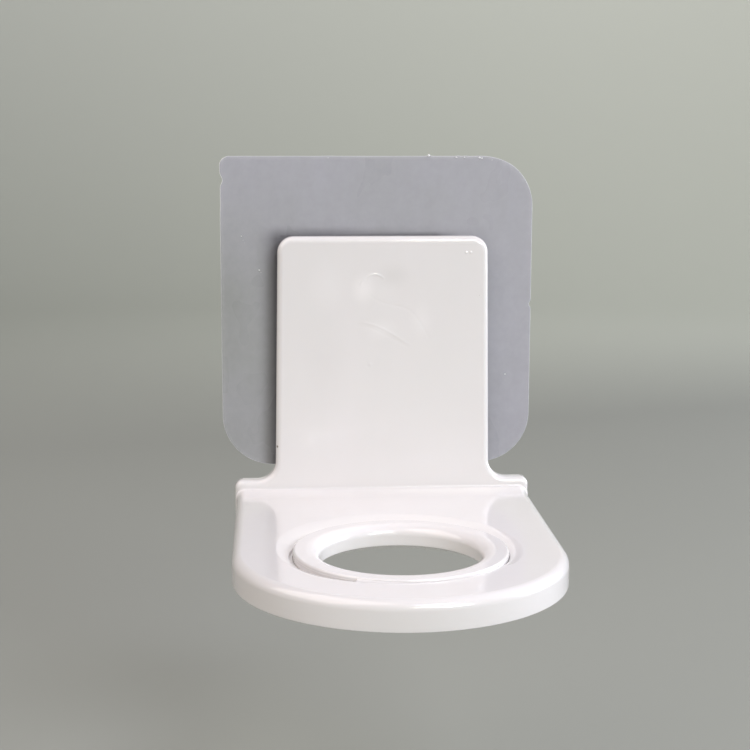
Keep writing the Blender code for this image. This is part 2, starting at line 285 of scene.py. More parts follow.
def smooth_finish(ob, mat, sharp_deg=28.0, weighted=True):
    bm = bmesh.new()
    bm.from_mesh(ob.data)
    bmesh.ops.triangulate(bm, faces=[f for f in bm.faces if len(f.verts) > 4])
    bm.to_mesh(ob.data)
    bm.free()
    ob.data.materials.clear()
    ob.data.materials.append(mat)
    ob.data.shade_smooth()
    ob.data.set_sharp_from_angle(angle=math.radians(sharp_deg))
    if weighted:
        mod = ob.modifiers.new("normals", "WEIGHTED_NORMAL")
        mod.mode = "FACE_AREA"
        mod.weight = 50
        mod.keep_sharp = True


# ---- node tools --------------------------------------------------------------

class Tree:
    """Short hand for building one material's nodes."""

    def __init__(self, name):
        self.mat = bpy.data.materials.new(name)
        self.mat.use_nodes = True
        self.nt = self.mat.node_tree
        self.bsdf = self.nt.nodes["Principled BSDF"]
        self.coord = self.nt.nodes.new("ShaderNodeTexCoord")

    def link(self, a, b):
        self.nt.links.new(a, b)

    def mapping(self, scale=(1, 1, 1), rot=(0, 0, 0), loc=(0, 0, 0)):
        m = self.nt.nodes.new("ShaderNodeMapping")
        m.inputs["Scale"].default_value = scale
        m.inputs["Rotation"].default_value = rot
        m.inputs["Location"].default_value = loc
        self.link(self.coord.outputs["Object"], m.inputs["Vector"])
        return m.outputs["Vector"]

    def noise(self, scale, detail=2.0, rough=0.5, vector=None, distortion=0.0):
        n = self.nt.nodes.new("ShaderNodeTexNoise")
        n.inputs["Scale"].default_value = scale
        n.inputs["Detail"].default_value = detail
        n.inputs["Roughness"].default_value = rough
        n.inputs["Distortion"].default_value = distortion
        self.link(vector or self.coord.outputs["Object"], n.inputs["Vector"])
        return n.outputs["Fac"]

    def ramp(self, value, lo, hi, a=0.0, b=1.0):
        m = self.nt.nodes.new("ShaderNodeMapRange")
        m.inputs["From Min"].default_value = lo
        m.inputs["From Max"].default_value = hi
        m.inputs["To Min"].default_value = a
        m.inputs["To Max"].default_value = b
        self.link(value, m.inputs["Value"])
        return m.outputs["Result"]

    def math(self, op, a, b=None, clamp=False):
        m = self.nt.nodes.new("ShaderNodeMath")
        m.operation = op
        m.use_clamp = clamp
        for i, v in enumerate((a, b)):
            if v is None:
                continue
            if isinstance(v, (int, float)):
                m.inputs[i].default_value = v
            else:
                self.link(v, m.inputs[i])
        return m.outputs["Value"]

    def mix(self, fac, a, b):
        m = self.nt.nodes.new("ShaderNodeMix")
        m.data_type = "RGBA"
        for key, v in (("Factor", fac), ("A", a), ("B", b)):
            sock = [s for s in m.inputs if s.name == key
                    and s.type == ("VALUE" if key == "Factor" else "RGBA")][0]
            if isinstance(v, tuple):
                sock.default_value = (*v, 1.0)
            elif isinstance(v, (int, float)):
                sock.default_value = v
            else:
                self.link(v, sock)
        return [s for s in m.outputs if s.type == "RGBA"][0]

    def bump(self, height, distance, strength=1.0, normal=None):
        b = self.nt.nodes.new("ShaderNodeBump")
        b.inputs["Strength"].default_value = strength
        b.inputs["Distance"].default_value = distance
        self.link(height, b.inputs["Height"])
        if normal is not None:
            self.link(normal, b.inputs["Normal"])
        return b.outputs["Normal"]

    def axis(self, index):
        s = self.nt.nodes.new("ShaderNodeSeparateXYZ")
        self.link(self.coord.outputs["Object"], s.inputs[0])
        return s.outputs[index]


def white_plastic(name, base, tint, seed, specks=(), painted_patches=()):
    t = Tree(name)
    shift = t.mapping(loc=(seed, 0.3 * seed, 0.7 * seed))
    # melt flow: long soft clouds of slightly differing white
    flow = t.noise(38.0, 3.0, 0.55, t.mapping(scale=(1.0, 1.0, 0.35),
                                              loc=(seed, 0, 0)), 0.6)
    fine = t.noise(900.0, 2.0, 0.5, shift)
    colour = t.mix(t.ramp(flow, 0.3, 0.7), base, tint)
    # painted sheen and shade: soft patches, a little lighter or darker, placed one by one; they stand
    # for the gloss and shade on the melt's swirl and are not pigment
    for place, size, shade, share in painted_patches:
        m = t.nt.nodes.new("ShaderNodeVectorMath")
        m.operation = "SUBTRACT"
        t.link(t.coord.outputs["Object"], m.inputs[0])
        m.inputs[1].default_value = Vector(place) * MM
        k = t.nt.nodes.new("ShaderNodeVectorMath")
        k.operation = "MULTIPLY"
        t.link(m.outputs["Vector"], k.inputs[0])
        k.inputs[1].default_value = Vector((1.0 / size[0], 0.2, 1.0 / size[1])) / MM
        d = t.nt.nodes.new("ShaderNodeVectorMath")
        d.operation = "LENGTH"
        t.link(k.outputs["Vector"], d.inputs[0])
        fade = t.nt.nodes.new("ShaderNodeMapRange")
        fade.interpolation_type = "SMOOTHSTEP"
        fade.inputs["From Min"].default_value = 0.0
        fade.inputs["From Max"].default_value = 1.0
        fade.inputs["To Min"].default_value = share
        fade.inputs["To Max"].default_value = 0.0
        t.link(d.outputs["Value"], fade.inputs["Value"])
        colour = t.mix(fade.outputs["Result"], colour, shade)
    # dark grains caught in the white
    for place, size in specks:
        d = t.nt.nodes.new("ShaderNodeVectorMath")
        d.operation = "DISTANCE"
        t.link(t.coord.outputs["Object"], d.inputs[0])
        d.inputs[1].default_value = Vector(place) * MM
        colour = t.mix(t.ramp(d.outputs["Value"], 0.6 * size * MM, size * MM, 1.0, 0.0),
                       colour, (0.20, 0.17, 0.15))
    t.link(colour, t.bsdf.inputs["Base Color"])
    rough = t.math("ADD", t.ramp(flow, 0.3, 0.7, 0.15, 0.19),
                   t.ramp(fine, 0.3, 0.7, -0.015, 0.02))
    t.link(rough, t.bsdf.inputs["Roughness"])
    # orange peel, and the faint tool marks of the mould
    peel = t.bump(t.noise(260.0, 1.5, 0.45, shift), 0.000016)
    grain = t.bump(t.noise(2600.0, 1.0, 0.5, shift), 0.0000015, normal=peel)
    t.link(grain, t.bsdf.inputs["Normal"])
    t.bsdf.inputs["IOR"].default_value = 1.53
    t.bsdf.inputs["Coat Weight"].default_value = 0.5
    t.bsdf.inputs["Coat Roughness"].default_value = 0.04
    t.bsdf.inputs["Coat IOR"].default_value = 1.5
    t.bsdf.inputs["Subsurface Weight"].default_value = 0.12
    t.bsdf.inputs["Subsurface Radius"].default_value = (1.0, 0.86, 0.78)
    t.bsdf.inputs["Subsurface Scale"].default_value = 0.0016
    return t.mat


def film_material():
    t = Tree("clear_film")
    soft = t.noise(55.0, 3.0, 0.6, t.mapping(scale=(1.0, 1.0, 0.8)), 0.4)
    wide = t.noise(26.0, 2.0, 0.5, t.mapping(loc=(0.4, 0.0, 0.9)))
    fibre = t.noise(240.0, 3.0, 0.65, t.mapping(scale=(1.0, 1.0, 0.35)))
    haze = t.noise(420.0, 2.0, 0.6)
    # painted light and shade, fitted to how the film looks in one light: lighter and cooler towards
    # the top and the right, where more light falls, greener at the lower left, and darker half way up
    # the left in the plate's shade; part of the tone is the tint of the wall behind the film
    x = t.ramp(t.axis(0), -0.042, 0.036)
    z = t.ramp(t.axis(2), -0.030, 0.036)
    up = t.math("SUBTRACT", t.math("ADD", x, z), t.math("MULTIPLY", x, z))
    tone = t.math("ADD", up, t.ramp(wide, 0.1, 0.9, -0.24, 0.24))
    left_shade = t.math("MULTIPLY", t.ramp(t.axis(0), -0.034, -0.016, 1.0, 0.0),
                  t.math("SUBTRACT", 1.0, t.math("ABSOLUTE", t.ramp(
                      t.axis(2), -0.016, 0.026, -1.0, 1.0))))
    tone = t.math("SUBTRACT", tone, t.math("MULTIPLY", left_shade, 0.42))
    low = t.math("MULTIPLY", t.ramp(t.axis(2), -0.012, -0.022), t.ramp(t.axis(0), -0.018, -0.030))
    tone = t.math("ADD", tone, t.math("MULTIPLY", low, 0.20))
    tone = t.math("ADD", tone, t.ramp(soft, 0.1, 0.9, -0.10, 0.10))
    tone = t.math("ADD", tone, t.ramp(fibre, 0.1, 0.9, -0.14, 0.14))
    colour = t.mix(t.ramp(tone, -0.2, 1.3), (0.365, 0.380, 0.352), (0.555, 0.548, 0.618))
    # painted contact shade, stronger on the left: it stands for the plate's shadow
    # on the film in one light, is no property of the film, and stays in any light
    side = t.ramp(t.math("SUBTRACT", t.math("ABSOLUTE", t.axis(0)), 0.0237),
                  0.0, 0.0052, 1.0, 0.0)
    side = t.math("MULTIPLY", t.math("POWER", side, 1.7), t.ramp(t.axis(0), -0.012, 0.012, 0.78, 0.10))
    side = t.math("MULTIPLY", side, t.ramp(t.axis(2), 0.0165, 0.0195, 1.0, 0.0))
    over = t.ramp(t.axis(2), 0.0171, 0.0182, 1.0, 0.0)
    over = t.math("MULTIPLY", over, t.ramp(t.axis(0), 0.0120, 0.0185, 0.78, 0.0))
    over = t.math("MULTIPLY", over, t.ramp(t.axis(0), -0.0262, -0.0225, 0.0, 1.0))
    near = t.math("MAXIMUM", side, over, clamp=True)
    # and none of it behind the plate, where it would show from the back only
    behind = t.math("MULTIPLY",
                    t.ramp(t.math("ABSOLUTE", t.axis(0)), 0.0205, 0.0222, 1.0, 0.0),
                    t.ramp(t.axis(2), 0.0140, 0.0156, 1.0, 0.0))
    near = t.math("MULTIPLY", near, t.math("SUBTRACT", 1.0, behind))
    colour = t.mix(near, colour, (0.075, 0.070, 0.082))
    # the cut edge is frosted, and is painted lighter as a painted highlight, most along the lifted
    # upper left
    rim = t.nt.nodes.new("ShaderNodeAttribute")
    rim.attribute_name = "rim"
    edge_highlight = t.math("MULTIPLY", t.ramp(t.axis(2), 0.004, 0.024),
                  t.ramp(t.axis(0), -0.0335, -0.0355))
    colour = t.mix(rim.outputs["Fac"], colour,
                   t.mix(edge_highlight, (0.66, 0.665, 0.70), (0.96, 0.96, 0.96)))
    t.link(colour, t.bsdf.inputs["Base Color"])
    alpha = t.math("ADD", t.ramp(tone, -0.2, 1.3, 0.47, 0.57),
                   t.ramp(haze, 0.2, 0.8, -0.03, 0.03))
    # the painted contact shade also makes the film more opaque there
    alpha = t.math("ADD", alpha, t.math("MULTIPLY", near, 0.30))
    alpha = t.math("ADD", alpha, t.math("MULTIPLY", rim.outputs["Fac"], 0.35),
                   clamp=True)
    t.link(alpha, t.bsdf.inputs["Alpha"])
    t.link(t.ramp(soft, 0.1, 0.9, 0.22, 0.36), t.bsdf.inputs["Roughness"])
    t.link(t.bump(soft, 0.00005, normal=t.bump(fibre, 0.000006)),
           t.bsdf.inputs["Normal"])
    t.bsdf.inputs["IOR"].default_value = 1.46
    return t.mat


def gel_material():
    t = Tree("clear_gel")
    soft = t.noise(70.0, 3.0, 0.6)
    fine = t.noise(600.0, 2.0, 0.6)
    t.link(t.mix(soft, (0.31, 0.32, 0.315), (0.36, 0.36, 0.375)),
           t.bsdf.inputs["Base Color"])
    t.link(t.ramp(soft, 0.3, 0.7, 0.20, 0.27), t.bsdf.inputs["Alpha"])
    t.link(t.ramp(fine, 0.3, 0.7, 0.28, 0.4), t.bsdf.inputs["Roughness"])
    t.link(t.bump(fine, 0.00002), t.bsdf.inputs["Normal"])
    t.bsdf.inputs["IOR"].default_value = 1.42
    return t.mat


def pad_material():
    t = Tree("bond_tape")
    cell = t.nt.nodes.new("ShaderNodeTexVoronoi")
    cell.inputs["Scale"].default_value = 2600.0
    t.link(t.coord.outputs["Object"], cell.inputs["Vector"])
    cells = cell.outputs["Distance"]
    soft = t.noise(120.0, 3.0, 0.6)
    t.link(t.mix(t.math("MULTIPLY", cells, soft), (0.74, 0.735, 0.72),
                 (0.62, 0.615, 0.60)), t.bsdf.inputs["Base Color"])
    t.link(t.ramp(soft, 0.3, 0.7, 0.7, 0.85), t.bsdf.inputs["Roughness"])
    t.link(t.bump(cells, 0.00006), t.bsdf.inputs["Normal"])
    return t.mat


def speck_material():
    t = Tree("dust")
    n = t.noise(3000.0, 2.0, 0.6)
    t.link(t.mix(n, (0.93, 0.93, 0.92), (0.8, 0.8, 0.8)),
           t.bsdf.inputs["Base Color"])
    t.link(t.ramp(n, 0.3, 0.7, 0.4, 0.6), t.bsdf.inputs["Roughness"])
    return t.mat


# ---- outlines ----------------------------------------------------------------

def bump_at(t, centre, width):
    """A smooth hump of height 1 at centre."""
    u = (t - centre) / width
    return math.exp(-u * u)


def film_outline(inset=0.0, detail=True):
    """(x, z), anticlockwise from the lower left, with the cut edge's faults."""
    x0 = FILM_X - FILM_W / 2 + inset
    x1 = FILM_X + FILM_W / 2 - inset
    z0, z1 = -FILM_H / 2 + inset, FILM_H / 2 - inset
    r = FILM_R - inset
    q = max(FILM_R_TL - inset, 0.4)
    n = 22
    pts = arc(x0 + r, z0 + r, r, 180, 270, n)
    pts += [(x, z0) for x in spread(x0 + r, x1 - r, 1.0)[1:-1]]
    pts += arc(x1 - r, z0 + r, r, 270, 360, n)
    pts += [(x1, z) for z in spread(z0 + r, z1 - r, 0.4)[1:-1]]
    pts += arc(x1 - r, z1 - r, r, 0, 90, n)
    pts += [(x, z1) for x in reversed(spread(x0 + q, x1 - r, 0.4)[1:-1])]
    pts += arc(x0 + q, z1 - q, q, 90, 180, 12)
    pts += [(x0, z) for z in reversed(spread(z0 + r, z1 - q, 0.4)[1:-1])]
    if not detail:
        return pts
    out = []
    for x, z in pts:
        left = ease((x0 + 3.0 - x) / 3.0)
        right = ease((x - x1 + 3.0) / 3.0)
        top = ease((z - z1 + 3.0) / 3.0)
        # the left edge waves where the film was pulled off its liner
        x += left * (0.62 * bump_at(z, 29.5, 1.05) + 0.10 * bump_at(z, 27.0, 0.9)
                     + 0.12 * bump_at(z, 24.5, 1.6))
        # a nick in the right edge, burrs along the top
        x -= right * (0.42 * bump_at(z, 1.5, 0.55) - 0.0)
        z -= top * (0.20 - 0.20 * bump_at(x, 10.4, 0.45)
                    - 0.08 * bump_at(x, 17.0, 0.5) - 0.07 * bump_at(x, 18.6, 0.4)
                    - 0.08 * bump_at(x, 21.6, 0.5)
                    - 0.05 * bump_at(x, -12.0, 1.5))
        out.append((x, z))
    return out


def pad_outline(inset=0.0):
    w, (z0, z1), r = PAD_W / 2 - inset, PAD_Z, PAD_R - inset
    z0, z1 = z0 + inset, z1 - inset
    return (arc(-w + r, z0 + r, r, 180, 270, 10)
            + arc(w - r, z0 + r, r, 270, 360, 10)
            + arc(w - r, z1 - r, r, 0, 90, 10)
            + arc(-w + r, z1 - r, r, 90, 180, 10))


def plate_outline():
    zt, ze = PLATE_TOP_Z, EAR_TOP_Z
    lean = math.degrees(math.atan((PLATE_FOOT_HALF - PLATE_TOP_HALF)
                                  / (zt - SHELF_Z)))
    rc, rf, re = PLATE_CORNER_R, EAR_FILLET_R, EAR_CORNER_R

    def side(z):
        t = (z - SHELF_Z) / (zt - SHELF_Z)
        return PLATE_FOOT_HALF + (PLATE_TOP_HALF - PLATE_FOOT_HALF) * t

    right = [(EAR_HALF, FOOT_BOTTOM_Z)]
    right += arc(EAR_HALF - re, ze - re, re, 0, 90, CORNER)
    cz = ze + rf
    cx = side(cz) + rf / math.cos(math.radians(lean))
    right += arc(cx, cz, rf, 270, 180 - lean, CORNER)
    cz = zt - rc
    cx = side(cz) - rc / math.cos(math.radians(lean))
    right += arc(cx, cz, rc, lean, 90, CORNER)
    left = [(-x, z) for x, z in reversed(right)]
    return right + left


def shelf_outline(inset=0.0, back=-4.5, n=ARC_SHELF):
    r = SHELF_HALF - inset
    return ([(-r, back)]
            + arc(0.0, SHELF_ARC_Y, r, 180, 360, n)
            + [(r, back)])


def read_off(rows, deg):
    """Smooth curve through (angle, value) rows."""
    i = 0
    while i < len(rows) - 2 and deg > rows[i + 1][0]:
        i += 1
    (x1, y1), (x2, y2) = rows[i], rows[i + 1]
    x0, y0 = rows[max(i - 1, 0)]
    x3, y3 = rows[min(i + 2, len(rows) - 1)]
    m1 = (y2 - y0) / (x2 - x0)
    m2 = (y3 - y1) / (x3 - x1)
    h = x2 - x1
    t = min(max((deg - x1) / h, 0.0), 1.0)
    return (y1 * (2 * t ** 3 - 3 * t * t + 1) + y2 * (3 * t * t - 2 * t ** 3)
            + h * m1 * (t ** 3 - 2 * t * t + t) + h * m2 * (t ** 3 - t * t))


def recess_profile(deg):
    k = 0.03 + 0.97 * ease((deg - RECESS_FROM_DEG) / RECESS_FADE_DEG)
    groove = SEAT_R + read_off(GROOVE_WIDTH, deg) * k
    span = (read_off(DISH_OUTER, deg) - groove - 0.1) * (0.2 + 0.8 * k)
    sink = min(0.02 + 0.205 * span, 0.80) * k
    depth = (0.75 + 0.40 * ease((deg - 120.0) / 50.0)) * k + 0.02
    depth = max(depth, sink + 0.16)
    steps = 12
    shape = [(SEAT_R - 0.6, 0.6), (SEAT_R - 0.6, -depth),
             (groove - 0.07 * k, -depth),
             (groove - 0.02 * k, -depth + 0.02 * k),
             (groove, -depth + 0.07 * k)]
    # round shoulder, then the dish rising to the shelf's face
    shape.append((groove, -sink - 0.06 * k))
    shape.append((groove + 0.03, -sink - 0.015 * k))
    for i in range(1, steps + 1):
        s = i / steps
        shape.append((groove + 0.06 + (span + 0.04) * s, -sink * (1.0 - s) ** 1.35))
    shape.append((groove + span + 0.6, 0.0006))
    shape.append((groove + span + 0.6, 0.6))
    return shape


def lip_profile(deg):
    k = 0.03 + 0.97 * ease((LIP_TO_DEG - deg) / 44.0)
    shape = [(SEAT_R + 0.004, -0.6), (SEAT_R + 0.004, LIP_RISE * k - 0.08)]
    steps = 8
    for i in range(steps + 1):
        s = i / steps
        shape.append((SEAT_R + 0.05 + LIP_WIDTH * s,
                      LIP_RISE * k * (1.0 - s) ** 2 - 0.004 * s))
    shape.append((SEAT_R + 0.05 + LIP_WIDTH, -0.6))
    return shape


# ---- bracket -----------------------------------------------------------------

def curve_distance(p, pts):
    """Distance from p to a chain of points, and the share along it."""
    best, where = 1e9, 0.0
    total = 0.0
    lengths = []
    for a, b in zip(pts, pts[1:]):
        d = math.hypot(b[0] - a[0], b[1] - a[1])
        lengths.append(d)
    whole = sum(lengths)
    for (a, b), d in zip(zip(pts, pts[1:]), lengths):
        t = ((p[0] - a[0]) * (b[0] - a[0]) + (p[1] - a[1]) * (b[1] - a[1])) / (d * d)
        t = min(max(t, 0.0), 1.0)
        q = (a[0] + (b[0] - a[0]) * t, a[1] + (b[1] - a[1]) * t)
        e = math.hypot(p[0] - q[0], p[1] - q[1])
        if e < best:
            best, where = e, (total + d * t) / whole
        total += d
    return best, where


def soft_curve(pts, n=8):
    """A smooth chain through the points."""
    out = []
    for i in range(len(pts) - 1):
        p0 = pts[max(i - 1, 0)]
        p1, p2 = pts[i], pts[i + 1]
        p3 = pts[min(i + 2, len(pts) - 1)]
        for k in range(n):
            t = k / n
            out.append(tuple(
                0.5 * ((2 * p1[c]) + (p2[c] - p0[c]) * t
                       + (2 * p0[c] - 5 * p1[c] + 4 * p2[c] - p3[c]) * t * t
                       + (3 * p1[c] - p0[c] - 3 * p2[c] + p3[c]) * t ** 3)
                for c in (0, 1)))
    out.append(pts[-1])
    return out


FLOW_MARKS = (
    # chain of (x, z), height, half width
    (soft_curve([(-5.2, 6.4), (-4.6, 7.3), (-3.8, 8.1), (-2.7, 8.8), (-1.2, 8.8),
                 (0.3, 7.9)]), 0.10, 0.24),
    (soft_curve([(-3.0, 4.3), (-1.6, 3.3), (0.3, 2.4), (2.6, 1.9), (4.9, 1.3),
                 (6.8, 0.0), (8.9, -2.9), (10.5, -5.9)]), -0.036, 0.28),
    (soft_curve([(-5.6, -2.0), (-4.4, -1.9), (-2.6, -2.3), (-0.3, -3.2),
                 (2.6, -4.8), (4.6, -6.1), (6.5, -7.3)]), 0.055, 0.26),
    (soft_curve([(-5.9, -2.7), (-3.6, -2.9), (-1.4, -3.7), (2.1, -5.5),
                 (5.4, -7.3)]), -0.034, 0.26),
)
# small nibs of the mould: (x, z), height, radius
NIBS = ((-2.9, -11.3, 0.10, 0.42), (18.5, 13.7, 0.13, 0.24), (19.5, 13.7, 0.13, 0.24))


def plate_relief(x, z):
    """Height of the plate's front face over its plane, in mm."""
    h = 0.0
    for pts, height, half in FLOW_MARKS:
        d, s = curve_distance((x, z), pts)
        if d < half * 4:
            ends = math.sin(math.pi * min(max(s, 0.0), 1.0)) ** 0.5
            h += height * ends * math.exp(-(d / half) ** 2)
    # the melt's swirl: a low leaf-shaped swelling and the dip beside it
    u = ((x + 3.5) / 2.6) ** 2 + ((z - 6.0) / 2.9) ** 2
    h += 0.130 * math.exp(-u)
    u = ((x - 2.6) / 3.2) ** 2 + ((z - 6.0) / 4.5) ** 2
    h -= 0.120 * math.exp(-u)
    u = ((x - 1.0) / 5.0) ** 2 + ((z + 1.2) / 2.6) ** 2
    h += 0.060 * math.exp(-u)
    for nx, nz, height, r in NIBS:
        h += height * math.exp(-((x - nx) ** 2 + (z - nz) ** 2) / (r * r))
    # slight sink of the whole face
    h += 0.05 * (noise.noise(Vector((x * 0.045, z * 0.04, 3.1))))
    return h


def plate_brow(x, z):
    """Fine ridge just below the rounding of the plate's upper edge, in mm."""
    along = 0.35 + 0.65 * ease((x - 6.0) / 5.0)
    ends = ease((PLATE_TOP_HALF - PLATE_EDGE_R - 0.9 - abs(x)) / 2.0)
    return 0.028 * along * ends * math.exp(-((z - 15.62) / 0.13) ** 2)


def add_plate_relief(ob):
    """Fine grid over the plate's front face, raised by plate_relief."""
    bm = bmesh.new()
    bm.from_mesh(ob.data)
    front = PLATE_Y[1] * MM

    def on_face(f):
        return all(abs(v.co.y - front) < 2e-6 for v in f.verts) \
            and f.calc_center_median().z > -38.0 * MM

    x1 = PLATE_TOP_HALF - PLATE_EDGE_R - 0.25
    zs = spread(-38.0, 14.9, 0.8) + spread(15.3, 15.9, 0.1)
    grid_cut(bm, on_face, 2, zs)
    grid_cut(bm, on_face, 0, spread(-x1, x1, 0.8))

    def near_mark(f):
        c = f.calc_center_median() / MM
        if not on_face(f) or c.z > 14.9:
            return False
        if any(math.hypot(c.x - x, c.z - z) < r + 0.85 for x, z, _h, r in NIBS):
            return True
        return -8.0 < c.x < 13.0 and -10.0 < c.z < 11.0 \
            and any(curve_distance((c.x, c.z), pts)[0] < half * 2.6 + 0.5
                    for pts, _h, half in FLOW_MARKS)

    for _level in range(3):
        faces = [f for f in bm.faces if near_mark(f)]
        edges = list({e for f in faces for e in f.edges})
        bmesh.ops.subdivide_edges(bm, edges=edges, cuts=1, use_grid_fill=True)
    fade = PLATE_EDGE_R
    inner = [v for v in bm.verts
             if abs(v.co.y - front) < 2e-6 and v.co.z > -38.5 * MM
             and all(abs(w.co.y - front) < 2e-6 for f in v.link_faces for w in f.verts)]
    for v in inner:
        x, z = v.co.x / MM, v.co.z / MM
        side = PLATE_FOOT_HALF + (PLATE_TOP_HALF - PLATE_FOOT_HALF) \
            * (z - SHELF_Z) / (PLATE_TOP_Z - SHELF_Z)
        inside = min(side - fade - abs(x), PLATE_TOP_Z - fade - z, z + 38.5)
        v.co.y -= (plate_relief(x, z) * ease(inside / 1.8) + plate_brow(x, z)) * MM
    bm.to_mesh(ob.data)
    bm.free()


def crease_bm(front, low):
    """Soft corner between the plate and the shelf, over its top and down its
    sides, where only a narrow strip of the ear is left to lean on."""
    h, e = SHELF_HALF, SHELF_EDGE_R
    strip = EAR_HALF - SHELF_HALF - 0.05
    way = [(h, low, 0.0)] + [(h, low + (SHELF_Z - e - low) * i / 4.0, 0.0)
                             for i in range(1, 4)]
    for i in range(17):
        a = 90.0 * i / 16.0
        way.append((h - e + e * math.cos(math.radians(a)),
                    SHELF_Z - e + e * math.sin(math.radians(a)), a))
    way += [(x, SHELF_Z, 90.0) for x in (28.0, 20.0, 10.0, 0.0)]
    way += [(-x, z, 180.0 - a) for x, z, a in reversed(way[:-1])]
    sections = []
    for x, z, a in way:
        nx, nz = math.cos(math.radians(a)), math.sin(math.radians(a))
        top = nz ** 1.5
        rise = 0.12 + (CREASE_RISE - 0.12) * top
        out = 1.0 + (CREASE_OUT - 1.0) * nz ** 2
        r = strip - 0.15 + (CREASE_R - strip + 0.15) * top
        # a round fillet on the plate runs into a slope that eases to the face
        m = 2.0 * rise / out * (1.0 - 0.8 * r / out)
        c = math.sqrt(1.0 + m * m)
        d0 = r * (1.0 - m / c)
        z0 = rise * (1.0 - d0 / out) ** 2
        zc = z0 + m * d0 - m * r + r * c
        shape = [(front + 0.6, -0.5), (front + 0.6, zc)]
        last = 90.0 - math.degrees(math.atan(m))
        for k in range(13):
            t = math.radians(last * k / 12.0)
            shape.append((front - r + r * math.cos(t), zc - r * math.sin(t)))
        for k in range(1, 15):
            d = d0 + (out - d0) * k / 14.0
            shape.append((front - d, rise * (1.0 - d / out) ** 2 - 0.0008))
        shape.append((front - out, -0.5))
        sections.append([(x + nx * n, y, z + nz * n) for y, n in shape])
    return loft_bm(sections, False)


